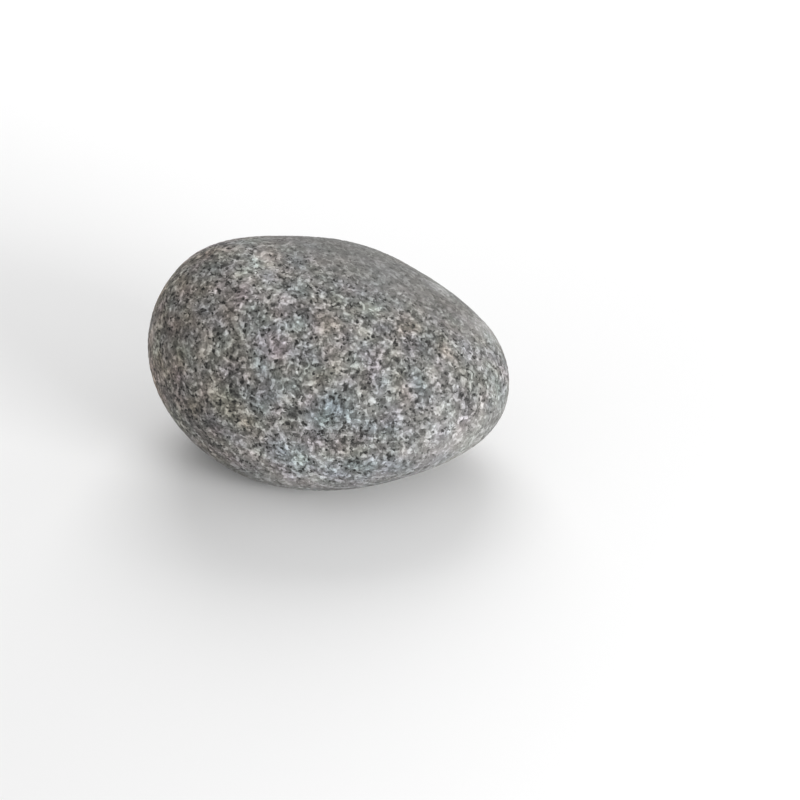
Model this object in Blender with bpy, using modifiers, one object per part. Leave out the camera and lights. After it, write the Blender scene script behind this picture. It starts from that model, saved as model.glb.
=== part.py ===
"""River pebble: one water-worn granite stone, lying on the worn flat of its underside.

The stone's frame: +X runs from the blunt heel to the narrower nose, +Y across it, +Z up.
The origin is under the middle of its box, on the surface that it lies on.
"""

import math

import bmesh
import bpy
from mathutils import Vector, noise

# Driving dimensions of the finished stone, in metres
LENGTH = 0.117  # heel to nose
WIDTH = 0.090  # flank to flank
HEIGHT = 0.074  # underside to crown

# The rounded body before the river wore flats into it, in metres
BODY_LENGTH = 0.1185
BODY_WIDTH = 0.0895
BODY_HEIGHT = 0.0778

# Its form, as shares of its half sizes
FULLNESS = 2.23  # 2 is an ellipsoid, more is boxier
NOSE_NARROWING = 0.09  # how much narrower the nose is than the middle
NOSE_THINNING = 0.25  # how much thinner the nose is than the middle
NOSE_DROP = 0.19  # how far the nose sinks, so that its underside stays low
SIDE_BOW = 0.128  # how far both ends bow toward the far flank
END_LIFT = 0.08  # how far both ends lift

# The worn flats, in the order that they wore: bearing from +X and elevation in degrees, then
# distance from the body's middle and rounding of the edge in metres, then the share of the
# bulge that is left standing
FLATS = {
    "far_shoulder": (69, 46, 0.0441, 0.010, 0.3),
    "crown": (126, 57.5, 0.0374, 0.010, 0.3),
    "upper_heel": (186, 33, 0.0514, 0.010, 0.3),
    "under_nose": (-33, -58.5, 0.0424, 0.010, 0.3),
    "under_heel": (221, -54, 0.0459, 0.010, 0.3),
    "belly": (0, -89.5, 0.0335, 0.012, 0.35),
    "resting_face": (0, -90, 0.0329, 0.0, 0.0),
}

# Slow swells of the surface
SWELL_LENGTH = 0.032
SWELL_HEIGHT = 0.0006
SWELL_START = Vector((3.1, 7.4, 1.9))  # where in the noise field this stone lies

CAGE_CELLS = 12  # cells along each side of the cube that the stone starts as

STONE_GREY = (0.235, 0.232, 0.222, 1.0)


def empty_the_scene():
    for obj in list(bpy.data.objects):
        bpy.data.objects.remove(obj)


def round_cage():
    """A cube in even cells, blown up to a ball of radius 1."""
    cage = bmesh.new()
    bmesh.ops.create_cube(cage, size=2.0)
    bmesh.ops.subdivide_edges(cage, edges=cage.edges[:], cuts=CAGE_CELLS - 1, use_grid_fill=True)
    for vert in cage.verts:
        spread = [math.tan(along * math.pi / 4) for along in vert.co]
        vert.co = Vector(spread).normalized()
    return cage


def body_point(outward):
    """The point of the unworn body that a unit vector from its middle points to."""
    reach = sum(abs(part) ** FULLNESS for part in outward) ** (-1 / FULLNESS)
    along, across, up = outward * reach
    across = across * (1 - NOSE_NARROWING * along) + SIDE_BOW * along**2
    up = up * (1 - NOSE_THINNING * along) + END_LIFT * along**2 - NOSE_DROP * along
    return Vector((along * BODY_LENGTH, across * BODY_WIDTH, up * BODY_HEIGHT)) / 2


def flat_normal(bearing, elevation):
    bearing = math.radians(bearing)
    elevation = math.radians(elevation)
    level = math.cos(elevation)
    return Vector((math.cos(bearing) * level, math.sin(bearing) * level, math.sin(elevation)))


def worn_height(height, rounding, left):
    """What wear leaves of a height above a flat, with the flat's edge rounded."""
    if height <= -rounding:
        return height
    if height >= rounding:
        return left * height
    worn = height - (height + rounding) ** 2 / (4 * rounding)
    return worn + left * (height - worn)


def wear(point):
    """The point after every flat has worn into the body, one after another."""
    for bearing, elevation, distance, rounding, left in FLATS.values():
        normal = flat_normal(bearing, elevation)
        height = point.dot(normal) - distance
        point = point + normal * (worn_height(height, rounding, left) - height)
    return point


def stone_material():
    material = bpy.data.materials.new("river_worn_granite")
    material.use_nodes = True
    shader = material.node_tree.nodes["Principled BSDF"]
    shader.inputs["Base Color"].default_value = STONE_GREY
    shader.inputs["Roughness"].default_value = 0.85
    shader.inputs["Metallic"].default_value = 0.0
    return material


def pebble():
    """The stone as a cage of its shape, smoothed once."""
    cage = round_cage()
    for vert in cage.verts:
        outward = vert.co.copy()
        point = body_point(outward)
        swell = noise.noise(point / SWELL_LENGTH + SWELL_START)
        vert.co = wear(point + outward * swell * SWELL_HEIGHT)
    mesh = bpy.data.meshes.new("pebble")
    cage.to_mesh(mesh)
    cage.free()
    mesh.materials.append(stone_material())
    mesh.shade_smooth()
    obj = bpy.data.objects.new("pebble", mesh)
    smooth = obj.modifiers.new("smooth", "SUBSURF")
    smooth.levels = 1
    smooth.render_levels = 1
    return obj


def smoothed_box(obj):
    """The lowest and the highest corner of the stone as smoothed."""
    graph = bpy.context.evaluated_depsgraph_get()
    smoothed = obj.evaluated_get(graph)
    points = [vert.co.copy() for vert in smoothed.to_mesh().vertices]
    smoothed.to_mesh_clear()
    low = Vector(min(point[axis] for point in points) for axis in range(3))
    high = Vector(max(point[axis] for point in points) for axis in range(3))
    return low, high


def set_down(obj):
    """Brings the smoothed stone to its driving size, with the origin under its middle."""
    low, high = smoothed_box(obj)
    foot = Vector(((low.x + high.x) / 2, (low.y + high.y) / 2, low.z))
    size = high - low
    fit = Vector((LENGTH / size.x, WIDTH / size.y, HEIGHT / size.z))
    for vert in obj.data.vertices:
        vert.co = (vert.co - foot) * fit
    obj.data.update()


def main():
    empty_the_scene()
    parts = bpy.data.collections.new("river_pebble")
    bpy.context.scene.collection.children.link(parts)
    stone = pebble()
    parts.objects.link(stone)
    set_down(stone)


main()
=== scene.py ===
import math

import bmesh
import bpy
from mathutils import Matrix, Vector


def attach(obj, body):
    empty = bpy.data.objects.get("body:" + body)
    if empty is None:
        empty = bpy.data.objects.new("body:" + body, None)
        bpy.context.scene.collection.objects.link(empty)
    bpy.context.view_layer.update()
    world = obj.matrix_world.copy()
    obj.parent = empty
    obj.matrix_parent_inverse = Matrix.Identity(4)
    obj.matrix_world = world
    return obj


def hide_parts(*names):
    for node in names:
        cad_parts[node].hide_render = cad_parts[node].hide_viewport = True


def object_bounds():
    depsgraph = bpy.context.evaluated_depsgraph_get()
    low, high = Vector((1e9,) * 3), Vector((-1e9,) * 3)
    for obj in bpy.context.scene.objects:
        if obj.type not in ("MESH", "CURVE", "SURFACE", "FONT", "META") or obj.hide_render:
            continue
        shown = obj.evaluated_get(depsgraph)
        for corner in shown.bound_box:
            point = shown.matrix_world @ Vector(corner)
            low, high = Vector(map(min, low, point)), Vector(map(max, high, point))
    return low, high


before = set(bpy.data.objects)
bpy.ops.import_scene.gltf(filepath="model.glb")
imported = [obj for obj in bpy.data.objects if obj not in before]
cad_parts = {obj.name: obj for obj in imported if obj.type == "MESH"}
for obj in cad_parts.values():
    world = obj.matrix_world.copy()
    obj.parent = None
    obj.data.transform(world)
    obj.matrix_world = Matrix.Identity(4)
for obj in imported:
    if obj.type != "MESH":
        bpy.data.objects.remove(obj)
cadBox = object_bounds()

# one water-worn river pebble of granite, lying on the worn flat of its underside

mm = 0.001
lowCorner, highCorner = Vector(cadBox[0]), Vector(cadBox[1])
middleOfStone = (lowCorner + highCorner) / 2


# node tree helpers

def plug(tree, value, socket):
    # a value is either another node's output or a plain number, vector or colour
    if isinstance(value, bpy.types.NodeSocket):
        tree.links.new(value, socket)
    else:
        socket.default_value = value


def node(tree, kind, inputs=None, **settings):
    new = tree.nodes.new(kind)
    for name, value in settings.items():
        setattr(new, name, value)
    for name, value in (inputs or {}).items():
        plug(tree, value, new.inputs[name])
    return new


def mathNode(tree, operation, a, b=0.0):
    return node(tree, "ShaderNodeMath", {0: a, 1: b}, operation=operation).outputs[0]


def times(tree, value, amount):
    return mathNode(tree, "MULTIPLY", value, amount)


def around(tree, value, amount, middle=0.5):
    # a swing to both sides of a middle
    return times(tree, mathNode(tree, "SUBTRACT", value, middle), amount)


def total(tree, values):
    result = values[0]
    for value in values[1:]:
        result = mathNode(tree, "ADD", result, value)
    return result


def vectorNode(tree, operation, a, b=(0, 0, 0), scale=None):
    new = node(tree, "ShaderNodeVectorMath", {0: a, 1: b}, operation=operation)
    if scale is not None:
        plug(tree, scale, new.inputs["Scale"])
    return new.outputs["Vector"]


def spread(tree, value):
    # the same number along all three axes
    return node(tree, "ShaderNodeCombineXYZ", {0: value, 1: value, 2: value}).outputs[0]


def mapRange(tree, value, fromLow, fromHigh, toLow=0.0, toHigh=1.0, smooth=False):
    new = node(tree, "ShaderNodeMapRange", interpolation_type="SMOOTHSTEP" if smooth else "LINEAR")
    for name, what in (("Value", value), ("From Min", fromLow), ("From Max", fromHigh),
                       ("To Min", toLow), ("To Max", toHigh)):
        plug(tree, what, new.inputs[name])
    return new.outputs["Result"]


def noise(tree, place, size, start, detail=0.0, distortion=0.0, output="Fac"):
    moved = vectorNode(tree, "ADD", place, (start, start, start))
    return node(tree, "ShaderNodeTexNoise", {
        "Vector": moved, "Scale": 1 / size, "Detail": detail, "Roughness": 0.5,
        "Distortion": distortion}).outputs[output]


def cells(tree, place, size, start, feature="F1"):
    moved = vectorNode(tree, "ADD", place, (start, start, start))
    return node(tree, "ShaderNodeTexVoronoi", {
        "Vector": moved, "Scale": 1 / size, "Randomness": 1.0}, feature=feature).outputs


def lots(tree, voronoi):
    # three random numbers from 0 to 1 for each cell
    return node(tree, "ShaderNodeSeparateXYZ", {"Vector": voronoi["Color"]}).outputs


# the pebble: one skin of worn granite over the solid

pebble = {
    "skin": {
        "cellsAlongSide": 126,
        "smoothing": 24,
        "swellLength": 17 * mm,
        "swellHeight": 0.35 * mm,
        "lumpLength": 4.5 * mm,
        "lumpHeight": 0.20 * mm,
        "chipHeight": 0.10 * mm,  # pale chips stand proud
        "pitDepth": 0.20 * mm,  # mica specks have worn out
        "lift": 0.04 * mm,
        "seed": 4,  # moves the swells and lumps
    },
    # the grains that the relief and the colours share, with sizes in millimetres
    "grain": {
        "chipSize": 1.8,
        "chipEdge": (0.51, 0.60),  # where in the noise a chip begins and is full
        "hollowSize": 1.8,
        "hollowEdge": (0.38, 0.47),
        "raggedness": 0.45,  # of chips and hollows
        "smallSize": 1.35,
        "smallRaggedness": 0.3,
        "speckSize": 1.15,
        "speckShare": 0.30,
        "speckReach": (0.30, 0.72),  # of its cell, smallest and largest
        "speckSoftness": 0.12,
        "speckCrowding": (1.5, 0.4),  # at a chip's border and away from it
        "borderWidth": 0.1,
        "border": 0.47,  # where in the noise a chip's border runs
        "crystalSize": 2.3,
        "seamSize": 1.426,
        "seamWidth": (0.02, 0.10),
        "seamPlaces": (0.45, 0.60),
        "seamPlaceSize": 2.2,
        "clusterSize": 5.5,
        "gritSize": 0.45,
        "textureSize": 0.35,
        "patchSize": 20.0,
        "tintSize": 9.0,
        "wander": 1.5,  # how far the cells' borders stray
        "wanderSize": 1.2,
    },
    # where in its noise each layer starts, so that no two run together
    "start": {
        "crystal": 0.0,
        "chip": 5.0,
        "seam": 7.0,
        "cluster": 11.0,
        "texture": 17.0,
        "grit": 19.0,
        "small": 23.0,
        "wander": 31.0,
        "seamPlace": 37.0,
        "hollow": 63.0,
        "patch": 71.0,
        "speck": 83.0,
        "redTint": 90.0,
        "oliveTint": 140.0,
    },
    # tones are as the eye sees them, 0 black to 1 white
    "tone": {
        "middle": 0.454,
        "darkest": 0.12,
        "crystals": 0.16,
        "chips": 0.19,
        "hollows": 0.06,
        "small": 0.50,
        "specks": 0.28,
        "seams": 0.10,
        "clusters": 0.17,
        "grit": 0.08,
        "patches": 0.10,
        "patchSpread": 1.4,  # how far past its reach a soft patch fades
    },
    # what share of the stone each layer covers, so that it doesn't change the middle tone
    "cover": {"chips": 0.42, "hollows": 0.2, "specks": 0.17, "seams": 0.1},
    # where the grain shows less, toward the crown, under the nose, at the foot and at the nose:
    # direction, where along it in millimetres the fading begins and is full, and how far the grain fades
    "fadedGrain": {
        "crown": ((0.2, 0.6, 0.78), 43.0, 60.0, 0.50),
        "underNose": ((0.45, 0, -0.9), -9.0, 2.0, 0.38),
        "foot": ((0, 0, -1), -20.0, -9.0, 0.38),
        "nose": ((1, 0, 0), 28.0, 48.0, 0.11),
    },
    "colour": {
        "stone": (1.010, 0.995, 0.950),
        "red": (0.7, -0.3, -0.4),  # what a full tint adds
        "olive": (0.3, 0.35, -0.65),
        "redTint": 0.45,
        "oliveTint": 0.38,
        "paleLessOlive": 0.14,  # pale grains lean to blue, dark ones to brown
        "paleLessRed": 0.07,
        "toneToLight": 2.2,  # power that turns a tone into the share of light sent back
    },
    "finish": {
        "roughness": (0.72, 0.88),  # of dark and of pale grains
        "roughnessTones": (0.2, 0.8),
        "bumpDepth": 0.45 * mm,
        "bumpOfGrains": 0.7,
        "bumpOfTexture": 0.5,
    },
    # soft patches: middle and reach in millimetres, then the change of tone; besides the stone's
    # mottling they carry painted shade and painted light, as marked below
    "patches": {
        # painted bounce light: these four make the lower rim paler, as if lit from below
        "paintedBounceRimHeel": ((-8, -40, 14), 20, 0.02),
        "paintedBounceRimMiddle": ((8, -42, 19), 16, 0.07),
        "paintedBounceRimFlank": ((24, -37, 17), 13, 0.05),
        "paintedBounceRimNose": ((50, -13, 17), 15, 0.065),
        "crownStreak": ((-14, -13, 73), 11, 0.07),
        "crownPale": ((-9, -20, 70), 10, 0.085),
        "crownTop": ((-21, -1, 73), 7, 0.05),
        "crownHeel": ((-21, -33, 64), 6, 0.045),
        "crownShade": ((14, -15, 65), 6, -0.04),
        "farNoseFleck": ((48, 19, 46), 9, 0.13),
        "farNoseEdge": ((33, 10, 58), 10, -0.035),
        "farNoseRim": ((31, 20, 57), 6, 0.16),
        "farShoulder": ((20, 13, 63), 6, -0.05),
        "upperNose": ((37, -6, 56), 10, -0.08),
        "noseFlank": ((41, -27, 38), 9, -0.095),
        "noseFlankShade": ((34, -34, 26), 6, -0.04),
        "noseTip": ((53, -9, 41), 9, -0.05),
        "flankPale": ((35, -31, 40), 9, 0.02),
        "upperFlank": ((36, -20, 51), 8, -0.03),
        "lowFlank": ((28, -38, 29), 12, -0.03),
        "crownHollow": ((3, -17, 69), 9, -0.03),
        "heelHollow": ((-24, -39, 52), 11, -0.02),
        "heelEdge": ((-44, -31, 48), 9, 0.09),
        "crownFoot": ((-1, -33, 62), 6, 0.05),
        "crownFootShade": ((-6, -37, 58), 5, -0.045),
        "nosePale": ((42, -17, 48), 6, 0.045),
        "flankShade": ((18, -34, 52), 6, -0.04),
        "midFlank": ((27, -34, 47), 9, -0.05),
        # painted light: the lower nose is made paler
        "paintedLightLowNose": ((46, -23, 30), 9, 0.05),
        # painted shade: the lower heel is made darker
        "paintedShadeLowHeel": ((-17, -42, 34), 17, -0.04),
        "midHollow": ((8, -42, 45), 8, -0.07),
        "bellyHollow": ((24, -39, 35), 6, -0.07),
        "bellyPale": ((-12, -43, 47), 6, 0.045),
        "bellyShade": ((-3, -43, 46), 5, -0.055),
        "underBelly": ((18, -41, 27), 6, -0.045),
    },
    # drifts of colour: middle and reach in millimetres, then redder and more olive
    "drifts": {
        "warmHeel": ((-52, -22, 46), 62, 0.131, 0.10),
        "coolBelly": ((16, -41, 38), 30, -0.03, -0.02),
        "coolFoot": ((36, -33, 22), 32, -0.05, -0.06),
        "warmFlank": ((-13, -42, 42), 24, 0.04, 0.035),
    },
}


def grains(tree, place):
    # place is in millimetres; the same nodes serve the relief and the colours
    grain, start = pebble["grain"], pebble["start"]
    stray = noise(tree, place, grain["wanderSize"], start["wander"], detail=1.0, output="Color")
    stray = vectorNode(tree, "SUBTRACT", stray, (0.5, 0.5, 0.5))
    wandered = vectorNode(tree, "ADD", place, vectorNode(tree, "SCALE", stray, scale=grain["wander"]))
    chipField = noise(tree, place, grain["chipSize"], start["chip"],
                      detail=2.0, distortion=grain["raggedness"])
    hollowField = noise(tree, place, grain["hollowSize"], start["hollow"],
                        detail=2.0, distortion=grain["raggedness"])
    small = noise(tree, place, grain["smallSize"], start["small"],
                  detail=1.0, distortion=grain["smallRaggedness"])

    # small dark specks, most of them along the borders of the chips
    speckCell = cells(tree, wandered, grain["speckSize"], start["speck"])
    speckLot = lots(tree, speckCell)
    fromBorder = mathNode(tree, "ABSOLUTE", mathNode(tree, "SUBTRACT", chipField, grain["border"]))
    crowding = mapRange(tree, fromBorder, 0.0, grain["borderWidth"], *grain["speckCrowding"])
    here = mathNode(tree, "LESS_THAN", speckLot[0], times(tree, crowding, grain["speckShare"]))
    reach = mapRange(tree, speckLot[1], 0.0, 1.0, *grain["speckReach"])
    depth = mathNode(tree, "SUBTRACT", reach, speckCell["Distance"])
    return {
        "wandered": wandered,
        "chip": mapRange(tree, chipField, *grain["chipEdge"], smooth=True),
        "hollow": mapRange(tree, hollowField, *grain["hollowEdge"], 1.0, 0.0, smooth=True),
        "small": small,
        "speck": times(tree, here, mapRange(tree, depth, 0.0, grain["speckSoftness"])),
    }


def pebbleSkinTree(material):
    tree = bpy.data.node_groups.new("pebbleSkin", "GeometryNodeTree")
    interface = tree.interface
    interface.new_socket(name="guide", in_out="INPUT", socket_type="NodeSocketGeometry")
    inputs = {}
    for name, value in pebble["skin"].items():
        kind = "NodeSocketInt" if isinstance(value, int) else "NodeSocketFloat"
        inputs[name] = interface.new_socket(name=name, in_out="INPUT", socket_type=kind).identifier
    interface.new_socket(name="skin", in_out="OUTPUT", socket_type="NodeSocketGeometry")
    given = node(tree, "NodeGroupInput").outputs

    # a cube in even cells, blown up to a ball around the stone's middle
    corners = mathNode(tree, "ADD", given["cellsAlongSide"], 1)
    cube = node(tree, "GeometryNodeMeshCube", {
        "Size": (2, 2, 2), "Vertices X": corners, "Vertices Y": corners, "Vertices Z": corners})
    place = node(tree, "GeometryNodeInputPosition").outputs[0]
    eighthTurn = vectorNode(tree, "SCALE", place, scale=math.pi / 4)
    outward = vectorNode(tree, "NORMALIZE", vectorNode(tree, "TANGENT", eighthTurn))
    ball = node(tree, "GeometryNodeSetPosition", {"Geometry": cube.outputs["Mesh"], "Position": outward})

    # each point goes out along its ray to the solid
    middle = node(tree, "FunctionNodeInputVector", vector=middleOfStone).outputs[0]
    hit = node(tree, "GeometryNodeRaycast", {
        "Target Geometry": given["guide"], "Source Position": middle,
        "Ray Direction": place, "Ray Length": (highCorner - lowCorner).length})
    onStone = node(tree, "GeometryNodeSetPosition", {
        "Geometry": ball.outputs[0], "Position": hit.outputs["Hit Position"]})

    # the solid's facets are blurred away
    blur = node(tree, "GeometryNodeBlurAttribute", {"Iterations": given["smoothing"]},
                data_type="FLOAT_VECTOR")
    blurIn = next(s for s in blur.inputs if s.name == "Value" and s.type == "VECTOR")
    blurOut = next(s for s in blur.outputs if s.type == "VECTOR")
    tree.links.new(place, blurIn)
    smooth = node(tree, "GeometryNodeSetPosition", {"Geometry": onStone.outputs[0], "Position": blurOut})

    def wave(length, detail, seedStep):
        start = spread(tree, times(tree, given["seed"], seedStep))
        moved = vectorNode(tree, "ADD", vectorNode(tree, "DIVIDE", place, spread(tree, length)), start)
        new = node(tree, "ShaderNodeTexNoise", {
            "Vector": moved, "Scale": 1.0, "Detail": detail, "Roughness": 0.5}, noise_dimensions="3D")
        return mathNode(tree, "SUBTRACT", new.outputs["Fac"], 0.5)

    # relief: slow swells, low lumps, chips that stand proud and specks that wore out
    found = grains(tree, vectorNode(tree, "SCALE", place, scale=1 / mm))
    rise = total(tree, [
        given["lift"],
        times(tree, wave(given["swellLength"], detail=1.0, seedStep=3.7), given["swellHeight"]),
        times(tree, wave(given["lumpLength"], detail=2.0, seedStep=5.3), given["lumpHeight"]),
        times(tree, found["chip"], given["chipHeight"]),
        times(tree, found["speck"], times(tree, given["pitDepth"], -1.0)),
    ])
    normal = node(tree, "GeometryNodeInputNormal").outputs[0]
    rough = node(tree, "GeometryNodeSetPosition", {
        "Geometry": smooth.outputs[0], "Offset": vectorNode(tree, "SCALE", normal, scale=rise)})

    # nothing leaves the solid's box, so the underside stays flat where it rests
    raised = vectorNode(tree, "MAXIMUM", place, tuple(lowCorner))
    capped = vectorNode(tree, "MINIMUM", raised, tuple(highCorner))
    kept = node(tree, "GeometryNodeSetPosition", {"Geometry": rough.outputs[0], "Position": capped})
    soft = node(tree, "GeometryNodeSetShadeSmooth", {"Geometry": kept.outputs[0]})
    real = node(tree, "GeometryNodeRealizeInstances", {"Geometry": soft.outputs[0]})
    dressed = node(tree, "GeometryNodeSetMaterial", {"Geometry": real.outputs[0], "Material": material})
    node(tree, "NodeGroupOutput", {"skin": dressed.outputs[0]})
    return tree, inputs


def mergedCopy(cadObject):
    # the CAD mesh is loose triangles, so its copy is merged before rays are cast at it
    shell = bmesh.new()
    shell.from_mesh(cadObject.data)
    bmesh.ops.remove_doubles(shell, verts=shell.verts[:], dist=0.001 * mm)
    mesh = bpy.data.meshes.new("pebbleGuide")
    shell.to_mesh(mesh)
    shell.free()
    return mesh


def makeSkin(material):
    tree, inputs = pebbleSkinTree(material)
    guide = bpy.data.objects.new("pebbleGuide", mergedCopy(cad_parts["pebble"]))
    bpy.context.scene.collection.objects.link(guide)
    modifier = guide.modifiers.new("pebbleSkin", "NODES")
    modifier.node_group = tree
    for name, identifier in inputs.items():
        modifier[identifier] = pebble["skin"][name]
    graph = bpy.context.evaluated_depsgraph_get()
    mesh = bpy.data.meshes.new_from_object(guide.evaluated_get(graph))
    mesh.name = "pebbleSkin"
    skin = bpy.data.objects.new("pebbleSkin", mesh)
    bpy.context.scene.collection.objects.link(skin)
    bpy.data.objects.remove(guide)
    return skin


def graniteMaterial():
    material = bpy.data.materials.new("riverGranite")
    material.use_nodes = True
    tree = material.node_tree
    tree.nodes.clear()
    grain, start, tone, cover = pebble["grain"], pebble["start"], pebble["tone"], pebble["cover"]
    colour, finish = pebble["colour"], pebble["finish"]
    metres = node(tree, "ShaderNodeTexCoord").outputs["Object"]
    place = vectorNode(tree, "SCALE", metres, scale=1 / mm)
    found = grains(tree, place)

    def soft(middle, reach, amount):
        # full at the middle, nothing at the reach
        away = node(tree, "ShaderNodeVectorMath", {0: place, 1: middle}, operation="DISTANCE")
        return mapRange(tree, away.outputs["Value"], 0.0, reach, amount, 0.0, smooth=True)

    # how much of the grain shows: less toward the crown, the underside and the nose
    fading = 0.0
    for axis, begins, full, share in pebble["fadedGrain"].values():
        along = node(tree, "ShaderNodeVectorMath", {0: place, 1: axis}, operation="DOT_PRODUCT")
        fadedGrain = mapRange(tree, along.outputs["Value"], begins, full, smooth=True)
        fading = mathNode(tree, "MAXIMUM", fading, times(tree, fadedGrain, share))
    shown = mathNode(tree, "SUBTRACT", 1.0, fading)
    fineShown = times(tree, shown, shown)

    crystal = lots(tree, cells(tree, found["wandered"], grain["crystalSize"], start["crystal"]))
    seamCell = cells(tree, found["wandered"], grain["seamSize"], start["seam"], "DISTANCE_TO_EDGE")
    seamPlace = noise(tree, place, grain["seamPlaceSize"], start["seamPlace"])
    seam = times(tree, mapRange(tree, seamCell["Distance"], *grain["seamWidth"], 1.0, 0.0),
                 mapRange(tree, seamPlace, *grain["seamPlaces"]))
    cluster = noise(tree, place, grain["clusterSize"], start["cluster"], detail=2.0)
    grit = noise(tree, place, grain["gritSize"], start["grit"], detail=1.0)
    patch = noise(tree, place, grain["patchSize"], start["patch"], detail=2.0)
    coarse = total(tree, [
        around(tree, crystal[0], tone["crystals"]),
        around(tree, found["chip"], tone["chips"], cover["chips"]),
        around(tree, found["hollow"], -tone["hollows"], cover["hollows"]),
        around(tree, cluster, tone["clusters"]),
    ])
    fine = total(tree, [
        around(tree, found["small"], tone["small"]),
        around(tree, grit, tone["grit"]),
        around(tree, found["speck"], -tone["specks"], cover["specks"]),
        around(tree, seam, -tone["seams"], cover["seams"]),
    ])
    # the soft patches here set the stone's mottling together with painted shade and painted light
    value = total(tree, [
        times(tree, coarse, shown),
        times(tree, fine, fineShown),
        around(tree, patch, tone["patches"]),
    ] + [soft(middle, reach * tone["patchSpread"], change)
         for middle, reach, change in pebble["patches"].values()])
    value = mathNode(tree, "MAXIMUM", mathNode(tree, "ADD", value, tone["middle"]), tone["darkest"])
    light = mathNode(tree, "POWER", value, colour["toneToLight"])

    # here and there several grains share a faint tint, and pale grains are cooler
    amounts = {"red": [], "olive": []}
    for name, paleLess in (("red", "paleLessRed"), ("olive", "paleLessOlive")):
        lean = noise(tree, place, grain["tintSize"], start[name + "Tint"], detail=1.0)
        amounts[name].append(times(tree, around(tree, lean, colour[name + "Tint"]), fineShown))
        amounts[name].append(around(tree, value, -colour[paleLess], tone["middle"]))
    for middle, reach, redder, moreOlive in pebble["drifts"].values():
        amounts["red"].append(soft(middle, reach, redder))
        amounts["olive"].append(soft(middle, reach, moreOlive))
    hue = vectorNode(tree, "SCALE", colour["red"], scale=total(tree, amounts["red"]))
    oliveHue = vectorNode(tree, "SCALE", colour["olive"], scale=total(tree, amounts["olive"]))
    hue = vectorNode(tree, "ADD", vectorNode(tree, "ADD", hue, oliveHue), colour["stone"])

    texture = noise(tree, place, grain["textureSize"], start["texture"], detail=2.0)
    height = mathNode(tree, "ADD", times(tree, value, finish["bumpOfGrains"]),
                      times(tree, texture, finish["bumpOfTexture"]))
    bump = node(tree, "ShaderNodeBump", {
        "Strength": 1.0, "Distance": finish["bumpDepth"], "Height": height})
    shader = node(tree, "ShaderNodeBsdfPrincipled", {
        "Base Color": vectorNode(tree, "SCALE", hue, scale=light),
        "Roughness": mapRange(tree, value, *finish["roughnessTones"], *finish["roughness"]),
        "Normal": bump.outputs[0]})
    node(tree, "ShaderNodeOutputMaterial", {"Surface": shader.outputs[0]})
    return material


# floor, lights and camera

studio = {
    "floorSize": 6.0,
    "floorTone": 0.90,
    "floorRoughness": 0.9,
    "worldStrength": 0.50,
    "lightDistance": 0.95,
    # bearing in degrees to the picture's right of the camera
    "lights": {
        "keyLight": {"bearing": 45.0, "elevation": 11.0, "size": 0.45, "power": 10.5},
        "backLight": {"bearing": 180.0, "elevation": 42.0, "size": 0.7, "power": 5.0},
    },
}
view = {
    "azimuth": 24.13,  # degrees round the stone, from looking along +Y
    "elevation": 30.0,
    "distance": 0.5970,
    "lens": 85.0,
    "sensorWidth": 36.0,
    "nearest": 0.01,
    "aimRight": 0.02403,  # from the stone's middle, in the picture's plane
    "aimUp": -0.0155,
}


def direction(azimuth, elevation):
    # the way from the stone to something at this azimuth and elevation, in degrees
    turn, rise = math.radians(azimuth), math.radians(elevation)
    return Vector((math.sin(turn) * math.cos(rise), -math.cos(turn) * math.cos(rise), math.sin(rise)))


def facing(toward):
    return toward.to_track_quat("Z", "Y").to_euler()


def makeFloor():
    material = bpy.data.materials.new("paleFloor")
    material.use_nodes = True
    shader = material.node_tree.nodes["Principled BSDF"]
    shader.inputs["Base Color"].default_value = (*[studio["floorTone"]] * 3, 1)
    shader.inputs["Roughness"].default_value = studio["floorRoughness"]
    half = studio["floorSize"] / 2
    mesh = bpy.data.meshes.new("floor")
    mesh.from_pydata([(-half, -half, 0), (half, -half, 0), (half, half, 0), (-half, half, 0)],
                     [], [(0, 1, 2, 3)])
    mesh.materials.append(material)
    floor = bpy.data.objects.new("floor", mesh)
    bpy.context.scene.collection.objects.link(floor)


def makeLight(name, bearing, elevation, size, power):
    toward = direction(view["azimuth"] + bearing, elevation)
    light = bpy.data.lights.new(name, "AREA")
    light.size = size
    light.energy = power
    lamp = bpy.data.objects.new(name, light)
    lamp.location = middleOfStone + toward * studio["lightDistance"]
    lamp.rotation_euler = facing(toward)
    bpy.context.scene.collection.objects.link(lamp)


def makeWorld():
    world = bpy.data.worlds.new("softSky")
    world.use_nodes = True
    background = world.node_tree.nodes["Background"]
    background.inputs["Color"].default_value = (1, 1, 1, 1)
    background.inputs["Strength"].default_value = studio["worldStrength"]
    bpy.context.scene.world = world


def makeCamera():
    back = direction(view["azimuth"], view["elevation"])
    right = direction(view["azimuth"] + 90, 0)
    up = back.cross(right)
    aim = middleOfStone + right * view["aimRight"] + up * view["aimUp"]
    camera = bpy.data.objects.new("camera", bpy.data.cameras.new("camera"))
    camera.data.lens = view["lens"]
    camera.data.sensor_width = view["sensorWidth"]
    camera.data.clip_start = view["nearest"]
    camera.location = aim + back * view["distance"]
    camera.rotation_euler = facing(back)
    bpy.context.scene.collection.objects.link(camera)
    bpy.context.scene.camera = camera


makeCamera()
makeWorld()
makeFloor()
for name, settings in studio["lights"].items():
    makeLight(name, **settings)
bpy.context.scene.view_settings.view_transform = "Standard"
print("studio ready")

granite = graniteMaterial()
print("granite mixed:", len(granite.node_tree.nodes), "nodes")
pebbleSkin = makeSkin(granite)
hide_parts("pebble")
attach(pebbleSkin, "root")
print("pebble skin ready:", len(pebbleSkin.data.polygons), "faces")
